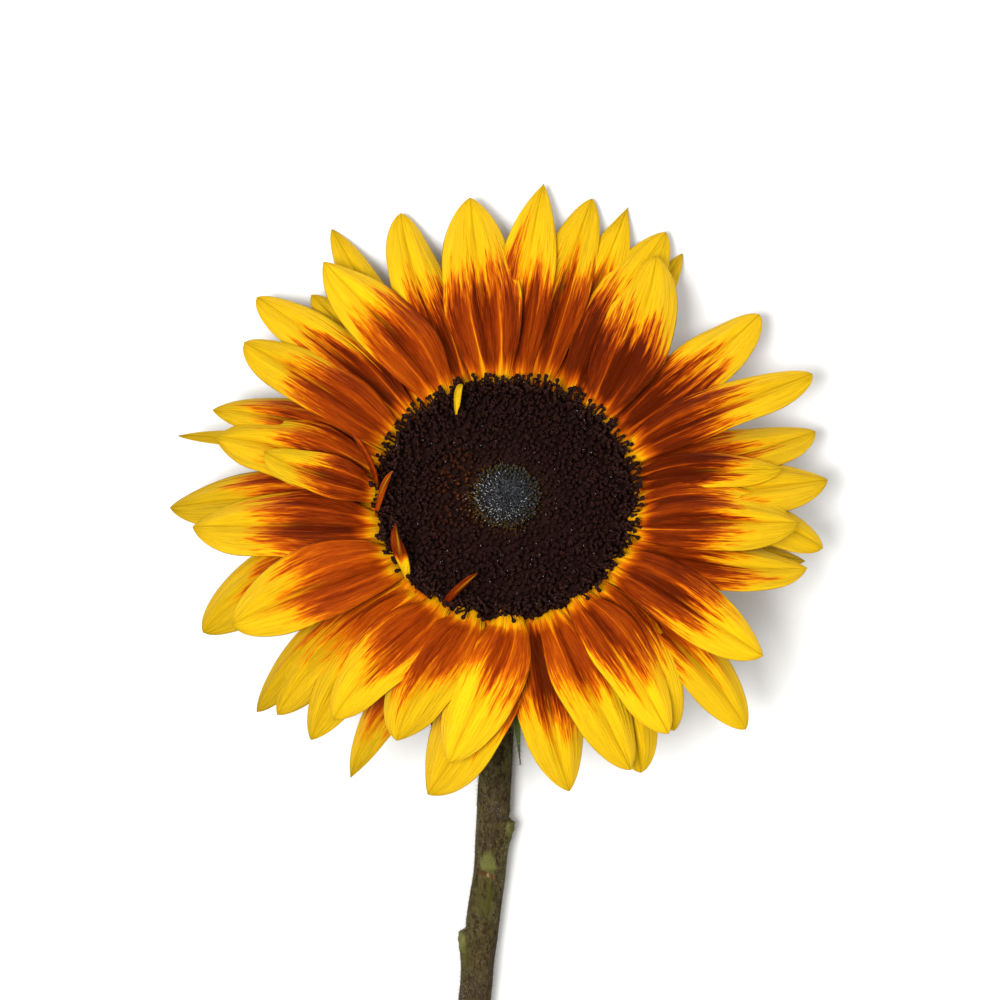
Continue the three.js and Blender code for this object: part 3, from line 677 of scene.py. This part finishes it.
ray_ring = round_of(56)
t = np.linspace(0, 1, 67)
t = between(t, (1 - np.cos(np.pi * t)) / 2, 0.6)
rays = []
for k, (root, tip_x, tip_y, full_width, layer, cup, sharpness, swing, brown, lean, depth) in enumerate(RAYS):
    middle, along = bezier(ray_line(root, tip_x, tip_y, layer, swing), t)
    across, side = ray_ring
    phase = 2 * np.pi * draw(k, 6)
    fading = ((0.7 + 1.2 * np.minimum(t, 0.25)) * np.sin(np.pi / 2 * np.clip((1 - t) / 0.3, 0, 1)))[:, None]
    belly = np.sin(np.pi * np.clip(t, 0, 0.6))[:, None]
    tip = smooth_step(t, 0.55, 1.0)[:, None]
    width = np.maximum(full_width * ray_outline(t, sharpness), 0.2)[:, None]
    uneven = 0.03 * np.sin(5.1 * t[:, None] + phase + 1.6 * np.sign(across))
    uneven = uneven + 0.012 * np.sin(17 * t[:, None] + 2 * phase + np.sign(across))
    v = np.abs(across)
    raised = 0.058 * np.sin(np.pi * v) * fading  # its two halves
    raised = raised + 0.034 * np.exp(-(((v - 0.38) / 0.12) ** 2)) * fading  # its two ribs
    raised = raised - 0.042 * np.exp(-((across / 0.08) ** 2)) * fading  # the crease between them
    raised = raised + 0.0035 * np.cos(14 * np.pi * across + phase) * fading  # its veins
    wavy = np.sin(9 * t[:, None] + phase + 1.5 * np.sign(across))
    raised = raised + 0.045 * v**3 * wavy * fading  # its edges
    raised = raised + cup * across**2 * belly - 0.17 * v**1.4 * tip  # its belly, and its keeled tip
    rings = blade(middle, along, width[:, 0] / 2, width * raised, np.full(len(t), RAY_THICKNESS / 2),
                  (across * (1 + uneven), side), (BACK_LAYER - layer) * LAYER_LIFT)
    root = np.radians(root)
    hanging = hang(root)
    claw = np.clip(1 - t / 0.09, 0, 1)[:, None] * max(1 - layer / 3, 0) * between(0.6, 1.5, hanging)
    lobes = 1.2 - 0.9 * across**2 + 0.25 * np.sin(6.5 * across + phase)
    lobes = lobes + 0.16 * np.sin(14 * across + 2 * phase)
    rings += (claw * lobes)[..., None] * (between(0.1, 0.9, hanging) * AXIS - outwards(root))
    # Painted shade: rays that face left, and rays by the stem or on the left that lie in back layers, have
    # their tone lowered by how far they face left and how far back they lie. This comes on top of a random
    # tone of their own.
    left = max(-np.cos(root - 0.3), 0)
    painted_shade = 0.16 * left + 0.06 * layer * max(left, hanging**2)  # rays on the left and by the stem
    rays.append((layer, closed_blade(
        rings, u=t[:, None], v=across, top=side, ray=1 + k,
        brown_from=0.05 * draw(k, 7) + (0.015 if layer < 0.8 else 0),
        brown_to=brown + 0.03 + lean * across, depth=depth,
        tone=0.96 + 0.12 * (draw(k, 8) - 0.5) - painted_shade,
        ridge=between(-0.15, -0.6, draw(k, 9)),
    )))

ray_finish, tree, shader = finish("two_coloured_ray", 0.55, 0.12, (1.0, 0.6, 0.15))
u, v, top, number = marked(tree, "u", "v", "top", "ray")
brown_from, brown_to, depth, tone, ridge = marked(tree, "brown_from", "brown_to", "depth", "tone", "ridge")


def veined(across_scale, along_scale, shift, detail):
    """Noise from -0.5 to 0.5 drawn out along the ray, different on each ray."""
    axes = {"X": times(v, across_scale), "Y": times(u, along_scale), "Z": times(number, shift)}
    return sums("SUBTRACT", noise(joined("CombineXYZ", axes).outputs[0], 1.0, detail), 0.5)


def weighed(first, *others):
    """The first value plus each other value times its weight."""
    total = first
    for value, weight in others:
        total = sums("MULTIPLY_ADD", value, weight, total)
    return total


fingers = veined(1.7, 0.8, 7.31, 1)
bands_and_fold_shade = veined(3.2, 0.5, 9.13, 1)
streaks = veined(5.0, 1.8, 3.17, 3)
threads = veined(15.0, 3.5, 5.03, 3)
flecks = veined(26.0, 12.0, 4.11, 2)
sideways = sums("ABSOLUTE", v)
edge = weighed(brown_to, (fingers, 0.45), (streaks, 0.38), (threads, 0.44), (flecks, 0.3))
edge = weighed(edge, (times(v, v), -0.09))
past = sums("SUBTRACT", u, edge)
before = sums("SUBTRACT", u, weighed(brown_from, (bands_and_fold_shade, 0.15), (streaks, 0.2), (threads, 0.1)))
rib = sums("ABSOLUTE", sums("SUBTRACT", sideways, weighed(0.38, (fingers, 0.25), (bands_and_fold_shade, 0.25))))
rib_width = weighed(0.06, (step(u, 0.2, 0.0), 0.24), (streaks, 0.05))
rib = step(sums("DIVIDE", rib, rib_width), 1.0, 0.0)
rib = times(rib, step(weighed(u, (streaks, 0.9), (bands_and_fold_shade, 0.6)), 0.55, 0.0))
crease_shadow = times(step(sideways, 0.1, 0.0), step(u, 0.4, 0.85))
brown = times(step(past, 0.12, -0.22), step(before, -0.05, 0.12))
# Each ray's depth sets how dark its brown is. On rays that lie in shadow it holds painted shade too.
shade = weighed(depth, (threads, 0.48), (streaks, 0.44), (bands_and_fold_shade, 0.5), (flecks, 0.36))
shade = weighed(shade, (times(rib, ridge), 1.0), (step(sideways, 0.36, 0.1), 0.1))
shade = times(brown, shade, clamp=True)
glow = times(step(weighed(u, (streaks, 0.3)), 0.3, 0.05), 0.15)
shade = sums("MAXIMUM", shade, glow)
face = ramp(shade, [
    (0.0, (0.8, 0.475, 0.006)),
    (0.11, (0.8, 0.39, 0.003)),
    (0.24, (0.74, 0.235, 0.0015)),
    (0.4, (0.55, 0.108, 0.0015)),
    (0.63, (0.33, 0.043, 0.001)),
    (0.85, (0.165, 0.015, 0.0006)),
    (1.0, (0.08, 0.006, 0.0004)),
])
# The colour is multiplied by a lightness made of three things. The first is each ray's tone, which holds
# painted shade on rays to the left and under others and fades out over the brown. The second is its veins.
# The third is soft bands that are painted shade and light of its folds.
veins_tone_and_painted_shade = weighed(tone, (brown, sums("SUBTRACT", 1.0, tone)), (threads, 0.5), (bands_and_fold_shade, 0.35))
face = joined("Mix", {0: 1.0, 6: face, 7: veins_tone_and_painted_shade}, data_type="RGBA", blend_type="MULTIPLY").outputs[2]
# A painted shadow in the crease: along the middle of the ray, towards its tip, the yellow darkens to olive.
face = tint(times(crease_shadow, 0.7), face, (0.46, 0.25, 0.003))
back = tint(step(threads, -0.15, 0.15), (0.46, 0.25, 0.005), (0.62, 0.37, 0.012))
back = tint(times(brown, 0.45), back, (0.26, 0.09, 0.008))
painted(shader, tint(step(top, -0.2, 0.2), back, face), weighed(threads, (streaks, 0.8)), 0.0005)

LAYERS = {"rays_front": (-9, 0.85), "rays_middle": (0.85, 1.85), "rays_back": (1.85, 9)}
for name, (nearest, furthest) in LAYERS.items():
    chosen = [shape for layer, shape in rays if nearest < layer <= furthest]
    piece = surface(name, gathered(chosen), ray_finish)
    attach(piece, "root")
    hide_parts("ray_petals")


# ---- Rim and stunted rays ----
# The narrow rim that the rays grow from, and five rays that stayed small: they stand up round the edge of the
# disc and curl over it.

# Each row is one of the five: degrees round at its root, its tip's distance from the axis, degrees round and
# height, width, quarter turns of twist, the stretch of it that is brown, and how dark that is.
CURLED_RAYS = [
    (111, 21.8, 122, 3.8, 2.4, 0.6, 3.0, 4.0, 0.2),
    (173, 37.5, 160, 5.0, 4.4, 0.8, -0.5, 1.3, 0.72),
    (188, 26.3, 171, 4.5, 1.7, 0.5, -0.1, 1.2, 0.62),
    (221, 27.0, 201, 6.5, 3.0, 0.9, 0.45, 1.5, 0.8),
    (242, 22.5, 253, 6.0, 1.9, 0.5, -0.2, 1.5, 0.8),
]

CURLED_THICKNESS = 0.34
FIRST_CURLED = 60  # their numbers, which seed the veins, start here

around = full_turn(240)
inside = DISC_RADIUS + GAP
outline = np.array([
    (inside, RIM_BOTTOM), (inside + RIM_WIDTH, RIM_BOTTOM), (inside + RIM_WIDTH + 0.3, -5.0),
    (inside + RIM_WIDTH - 0.6, RIM_TOP - 0.9), (inside + 0.6, RIM_TOP - 0.6), (inside, RIM_TOP - 1.1),
])
rings = np.stack([on_head(outline[:, 0] + 0.1 * np.sin(46 * a), a, outline[:, 1]) for a in around])


def closed_ring(rings):
    """A skin over rings of points (n, m, 3) whose last ring joins the first."""
    n, m = rings.shape[:2]
    points = rings.reshape(-1, 3)
    return points, facing_outwards(points, sleeve(n + 1, m) % (n * m))


rim_piece = surface(
    "ray_rim", closed_ring(rings), ray_finish, u=0.3, v=np.repeat(np.sin(23 * around), len(outline)), top=1,
    ray=0, brown_from=-1, brown_to=4, depth=0.3, tone=1, ridge=-0.2,
)
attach(rim_piece, "root")
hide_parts("ray_petals")

curl_ring = round_of(24)
t = np.linspace(0, 1, 33)
curls = []
for k, row in enumerate(CURLED_RAYS):
    root, tip_radius, tip, tip_height, full_width, twist, brown_from, brown_to, depth = row
    root, tip = np.radians([root, tip])
    line = [
        on_head(ROOT_RADIUS, root, RIM_TOP - 0.9),
        on_head(ROOT_RADIUS + 0.2, root, 1.8),
        on_head(between(ROOT_RADIUS, tip_radius, 0.4), between(root, tip, 0.5), tip_height),
        on_head(tip_radius, tip, tip_height),
    ]
    middle, along = bezier(line, t)
    across, side = curl_ring
    width = full_width * (0.45 + 0.55 * np.sin(np.pi * t * 0.92)) * np.minimum(1, 6 * (1.04 - t))
    round_rim = np.cross(AXIS, outwards(root))
    sideways = unit(round_rim - (along @ round_rim)[:, None] * along)
    up = np.cross(along, sideways)
    roll = (twist * np.pi / 2 * t)[:, None]
    first = sideways * np.cos(roll) + up * np.sin(roll)
    second = up * np.cos(roll) - sideways * np.sin(roll)
    cupped = 0.28 * width[:, None] * across**2
    rings = framed(middle, across * width[:, None] / 2, first, cupped + side * CURLED_THICKNESS / 2, second)
    curls.append(closed_blade(
        rings, u=t[:, None], v=across * 0.3, top=1, ray=FIRST_CURLED + k,
        brown_from=brown_from, brown_to=brown_to, depth=depth, tone=0.9, ridge=0,
    ))
curled = surface("curled_rays", gathered(curls), ray_finish)
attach(curled, "root")
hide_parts("ray_petals")


# ---- Disc florets ----
# Some 1,830 dark florets packed in crossing spirals on a low dome. Each is a short tube with a stigma that
# splits into two curled arms, and those near the edge of the disc lean outwards over a ring of knobbed
# stigmas. Pollen clings to some.

HEART_RADIUS = 7.4
FLORETS = 1950


def disc_face(radius):
    """The height of the disc's face: a low dome, flat over most of its width, that dips in the middle."""
    return -1.6 * (radius / DISC_RADIUS) ** 4 - 0.9 * np.exp(-((radius / HEART_RADIUS) ** 2))


def spiral(count, reach):
    """Distances and angles of points that fill a circle in crossing spirals, a golden angle apart."""
    number = np.arange(count)
    return reach * np.sqrt((number + 0.5) / count), number * np.pi * (3 - np.sqrt(5))


inner = HEART_RADIUS + GAP
radii = np.linspace(inner, DISC_RADIUS - 0.2, 40)
profile_radius = np.concatenate([radii, [DISC_RADIUS, DISC_RADIUS - 0.3, inner]])
profile_height = np.concatenate([disc_face(radii) - 1.5, [-3.0, RIM_BOTTOM, RIM_BOTTOM]])
around = full_turn(180)
rings = on_head(profile_radius[None, :], around[:, None], profile_height[None, :])

dark_finish, tree, shader = finish("dark_floret", 0.7, 0.08, (1.0, 0.7, 0.5))
mottle = grain(tree, 700, 3, 0.6)
tip_mark, shade_mark, pollen_mark, young_mark = marked(tree, "tip", "shade", "pollen", "young")
colour = tint(mottle, (0.0095, 0.0034, 0.0028), (0.023, 0.008, 0.0068))
colour = tint(times(tip_mark, shade_mark, clamp=True), colour, (0.032, 0.0118, 0.0088))
olive = tint(mottle, (0.022, 0.016, 0.003), (0.12, 0.08, 0.012))
colour = tint(times(tip_mark, young_mark, clamp=True), colour, olive)
rust = tint(mottle, (0.035, 0.009, 0.002), (0.2, 0.046, 0.005))
clump = step(grain(tree, 330, 3, 0.6), 0.45, 0.62)
colour = tint(times(clump, pollen_mark, clamp=True), colour, rust)
painted(shader, colour, mottle, 0.00012)

bed = surface("disc_bed", closed_ring(rings), dark_finish, tip=0, shade=0, pollen=0, young=0)
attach(bed, "root")
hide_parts("disc_florets")


def stalk(middle, radii, sides):
    """A closed tube round a short middle line (n, 3), with a radius at each point, marked as a tip."""
    along = unit(np.gradient(np.asarray(middle, float), axis=0))
    aside = unit(np.cross(along, [0.2, 1.0, 0.1]))
    other = np.cross(along, aside)
    turns = full_turn(sides)
    radii = np.asarray(radii)[:, None]
    rings = framed(np.asarray(middle), radii * np.cos(turns), aside, radii * np.sin(turns), other)
    points, faces = closed_tube(rings)
    return points, faces, {"tip": np.ones(len(points))}


def bud(height, radius):
    """A closed pointed floret that stands on +Z."""
    rings = [(0, 0, 0), (0, 0, 0.6 * height), (0, 0, 0.85 * height), (0, 0, height)]
    points, faces, marks = stalk(rings, [0.8 * radius, radius, 0.7 * radius, 0.15 * radius], 5)
    marks["tip"] = np.clip(1.6 * points[:, 2] / height - 0.6, 0, 1)
    return points, faces, marks


def floret(arm, curl, thick, sides, steps):
    """An open floret on +Z: a four-sided tube 1.6 mm high, and two plump arms that curl out and down."""
    points, faces, marks = stalk([(0, 0, 0), (0, 0, 1.6)], [0.34, 0.48], 4)
    marks["tip"] = np.clip(points[:, 2] - 1.4, 0, 0.2)
    shapes = [(points, faces, marks)]
    bend = np.linspace(0.0, curl, steps)
    for way in (1, -1):
        x = way * arm * (1 - np.cos(bend)) * 0.5
        z = 1.55 + arm * np.sin(bend) * 0.6 + 0.1 * arm * bend
        line = np.stack([x, 0.1 * way * bend, z], axis=1)
        shapes.append(stalk(line, thick * np.linspace(0.65, 1.0, steps), sides))
    return gathered(shapes)


def planted(template, places, directions, spins, sizes, marks):
    """Copies of a shape on +Z, each scaled, spun about its axis and stood along a direction."""
    points, faces, own = template
    directions = unit(directions)
    aside = unit(np.cross(directions, [0.0, 1.0, 0.05]))
    other = np.cross(directions, aside)
    spins = spins[:, None]
    first = np.cos(spins) * aside + np.sin(spins) * other
    second = np.cross(directions, first)
    frames = np.stack([first, second, directions], axis=1) * sizes[:, None, None]
    placed = places[:, None] + np.einsum("pk,nkc->npc", points, frames)
    count = len(places)
    counted = faces[None] + len(points) * np.arange(count)[:, None, None]
    kept = {mark: np.tile(values, count) for mark, values in own.items()}
    kept.update({mark: np.repeat(values, len(points)) for mark, values in marks.items()})
    return placed.reshape(-1, 3), counted.reshape(-1, 3), kept


radius, angle = spiral(FLORETS, DISC_RADIUS - 0.1)
kept = radius > HEART_RADIUS - 0.2
radius, angle = radius[kept], angle[kept]
count = len(radius)
radius = radius + 0.22 * chance.normal(size=count)
angle = angle + 0.22 * chance.normal(size=count) / radius
outward = outwards(angle)
edge = np.clip((radius - 25.5) / 3.5, 0, 1)
lean = (0.15 + chance.uniform(0, 0.9, count)) * edge**2 * between(1.0, 0.25, hang(angle) ** 2)
lean = lean + 0.04 - 0.35 * np.clip(1 - (radius - 7) / 3, 0, 1)
directions = AXIS + lean[:, None] * outward + 0.17 * chance.normal(size=outward.shape)
height = disc_face(radius) - 1.3 + 0.28 * chance.normal(size=count)
places = on_head(np.minimum(radius, DISC_RADIUS - 0.3), angle, height)
sizes = chance.uniform(0.8, 1.15, count) * (0.78 + 0.22 * np.clip((radius - 7) / 8, 0, 1))
sizes = sizes * (1 + edge * chance.uniform(0.0, 0.5, count))
spins = chance.uniform(0, 2 * np.pi, count)
x, y = radius * np.cos(angle), radius * np.sin(angle)
patch = np.exp(-(((x + 11) / 4.2) ** 2) - ((y - 0.5) / 8.5) ** 2)
pollen = patch * chance.uniform(0.3, 1.3, count)
young = np.clip(1 - (radius - 7.2) / 3.2, 0, 1) * chance.uniform(0.1, 1.0, count)
young = young * (0.6 - 0.4 * np.cos(angle - 0.9))
shade = chance.uniform(0.0, 1.0, count) ** 1.8

kinds = [
    (bud(1.9, 0.42), radius < 11.5),
    (floret(0.4, 2.2, 0.27, 3, 4), (radius >= 11.5) & (radius < 18)),
    (floret(0.5, 2.4, 0.3, 3, 4), (radius >= 18) & (radius < 26.3)),
    (floret(0.85, 2.6, 0.38, 4, 3), radius >= 26.3),
]
shapes = []
for template, chosen in kinds:
    shapes.append(planted(
        template, places[chosen], directions[chosen], spins[chosen], sizes[chosen],
        {"shade": shade[chosen], "pollen": pollen[chosen], "young": young[chosen]},
    ))
for name, part in (("florets_inner", shapes[:2]), ("florets_outer", shapes[2:])):
    piece = surface(name, gathered(part), dark_finish)
    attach(piece, "root")
    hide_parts("disc_florets")

STIGMAS = 150  # knobbed ones that reach out over the rays from the outermost florets
angle = (np.arange(STIGMAS) + chance.uniform(0, 1.5, STIGMAS)) * 2 * np.pi / STIGMAS
outward = outwards(angle)
upright = between(1.5, 0.4, hang(angle) ** 2) * chance.uniform(0.6, 1.5, STIGMAS)
rim_places = on_head(DISC_RADIUS - 0.9, angle, disc_face(DISC_RADIUS) - 0.6)
bent_over = [(0, 0, 0), (0.1, 0, 1.3), (0.3, 0, 2.3), (0.55, 0, 2.75), (0.85, 0, 2.75)]
stigma = stalk(bent_over, [0.2, 0.14, 0.2, 0.45, 0.3], 6)
leaning = AXIS + upright[:, None] * outward + 0.25 * chance.normal(size=outward.shape)
spins = chance.uniform(0, 2 * np.pi, STIGMAS)
ring = planted(stigma, rim_places, leaning, spins, chance.uniform(0.9, 1.4, STIGMAS), {})
stigmas = surface("rim_stigmas", ring, dark_finish, shade=0, pollen=0, young=0)
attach(stigmas, "root")
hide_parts("disc_florets")

SPECKS = 110
dust_finish, tree, shader = finish("white_dust", 0.5, 0.3)
painted(shader, tint(grain(tree, 1500), (0.35, 0.33, 0.36), (0.75, 0.74, 0.78)))
owner = chance.integers(0, count, SPECKS)
roots = places[owner] + unit(directions[owner]) * 2.1 * sizes[owner][:, None]
roots = roots + 0.3 * chance.normal(size=(SPECKS, 3))
specks = hairs(roots, chance.normal(size=(SPECKS, 3)), 0.2, 0.55, 0.055)
dust = surface("disc_dust", specks, dust_finish)
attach(dust, "root")


# ---- Heart of the disc ----
# The youngest florets, still closed: small grey points in the same spirals, silvered with short white hairs
# that catch the light, and edged with an olive fringe.

radii = np.linspace(0.3, HEART_RADIUS - 0.1, 16)
profile_radius = np.concatenate([radii, [HEART_RADIUS, HEART_RADIUS - 0.1, 0.3]])
profile_height = np.concatenate([disc_face(radii) - 0.7, [-2.0, RIM_BOTTOM, RIM_BOTTOM]])
around = full_turn(72)
rings = on_head(profile_radius[:, None], around[None, :], profile_height[:, None])

grey_finish, tree, shader = finish("silver_bud", 0.6, 0.15)
mottle = grain(tree, 900, 3, 0.6)
tip_mark, rim_mark = marked(tree, "tip", "rim")
colour = tint(mottle, (0.006, 0.005, 0.005), (0.02, 0.018, 0.018))
grey = tint(mottle, (0.012, 0.0125, 0.0145), (0.056, 0.058, 0.064))
olive = tint(mottle, (0.016, 0.012, 0.003), (0.08, 0.055, 0.011))
colour = tint(tip_mark, colour, tint(rim_mark, grey, olive))
painted(shader, colour, mottle, 0.0001)

heart_bed = surface("heart_bed", closed_tube(rings), grey_finish, tip=0, rim=0)
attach(heart_bed, "root")
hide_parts("disc_heart")

BUDS = 300
radius, angle = spiral(BUDS, HEART_RADIUS + 0.2)
outward = outwards(angle)
lean = 0.55 * np.clip((radius - 4) / 3, 0, 1) - 0.2
directions = AXIS + lean[:, None] * outward + 0.16 * chance.normal(size=outward.shape)
places = on_head(np.minimum(radius, HEART_RADIUS - 0.2), angle, disc_face(radius) - 0.9)
sizes = between(0.8, 1.2, radius / HEART_RADIUS) * chance.uniform(0.85, 1.15, BUDS)
on_rim = chance.uniform(size=BUDS) < np.clip((radius - 3.2) / 3, 0, 0.95)
rim_share = on_rim * chance.uniform(0.3, 1.0, BUDS)
spins = chance.uniform(0, 6.3, BUDS)
bud_shapes = planted(bud(1.45, 0.27), places, directions, spins, sizes, {"rim": rim_share})
buds = surface("heart_buds", bud_shapes, grey_finish)
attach(buds, "root")
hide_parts("disc_heart")

SILVER_HAIRS = 2600
silver_finish, tree, shader = finish("silver_hair", 0.45, 0.3)
patchy = grain(tree, 800, 4, 0.8)
painted(shader, ramp(patchy, [
    (0.0, (0.015, 0.015, 0.017)),
    (0.42, (0.045, 0.047, 0.052)),
    (0.55, (0.14, 0.147, 0.16)),
    (1.0, (0.6, 0.62, 0.66)),
]))
owner = chance.integers(0, BUDS, SILVER_HAIRS)
owner = owner[chance.uniform(size=SILVER_HAIRS) > np.clip((radius[owner] - 2.4) / 4.2, 0, 0.95)]
few = len(owner)
roots = places[owner] + AXIS * (0.9 * sizes[owner])[:, None] + 0.22 * chance.normal(size=(few, 3))
leaning = 0.6 * AXIS + outward[owner] + 0.35 * chance.normal(size=(few, 3))
heart_hairs = surface("heart_hairs", hairs(roots, leaning, 0.5, 1.2, 0.05), silver_finish)
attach(heart_hairs, "root")


def sprinkled(count, radius, spread_out, angle, spread_round):
    """Random spots of the head: radius and angle of each, gathered round a radius and an angle."""
    return radius + spread_out * chance.normal(size=count), angle + spread_round * chance.normal(size=count)


DROPS = 120
drop_radius, drop_angle = sprinkled(DROPS, 5.4, 1.3, np.radians(225), 1.1)
outward = outwards(drop_angle)
roots = on_head(drop_radius, drop_angle, disc_face(drop_radius) + 0.5)
leaning = AXIS + outward + 0.4 * chance.normal(size=(DROPS, 3))
drops = surface("heart_drops", hairs(roots, leaning, 0.3, 0.7, 0.11), dust_finish)
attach(drops, "root")

FRINGE = 320
fringe_finish, tree, shader = finish("olive_fringe", 0.6, 0.15)
patchy = grain(tree, 500, 3, 0.6)
painted(shader, tint(step(patchy, 0.35, 0.65), (0.04, 0.03, 0.005), (0.2, 0.085, 0.008)))
fringe_radius, fringe_angle = sprinkled(FRINGE, 7.4, 0.8, np.radians(235), 1.1)
outward = outwards(fringe_angle)
roots = on_head(fringe_radius, fringe_angle, disc_face(fringe_radius) + 0.1)
leaning = 0.7 * AXIS + outward + 0.25 * chance.normal(size=(FRINGE, 3))
fringe = surface("heart_fringe", hairs(roots, leaning, 0.5, 1.3, 0.07), fringe_finish)
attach(fringe, "root")
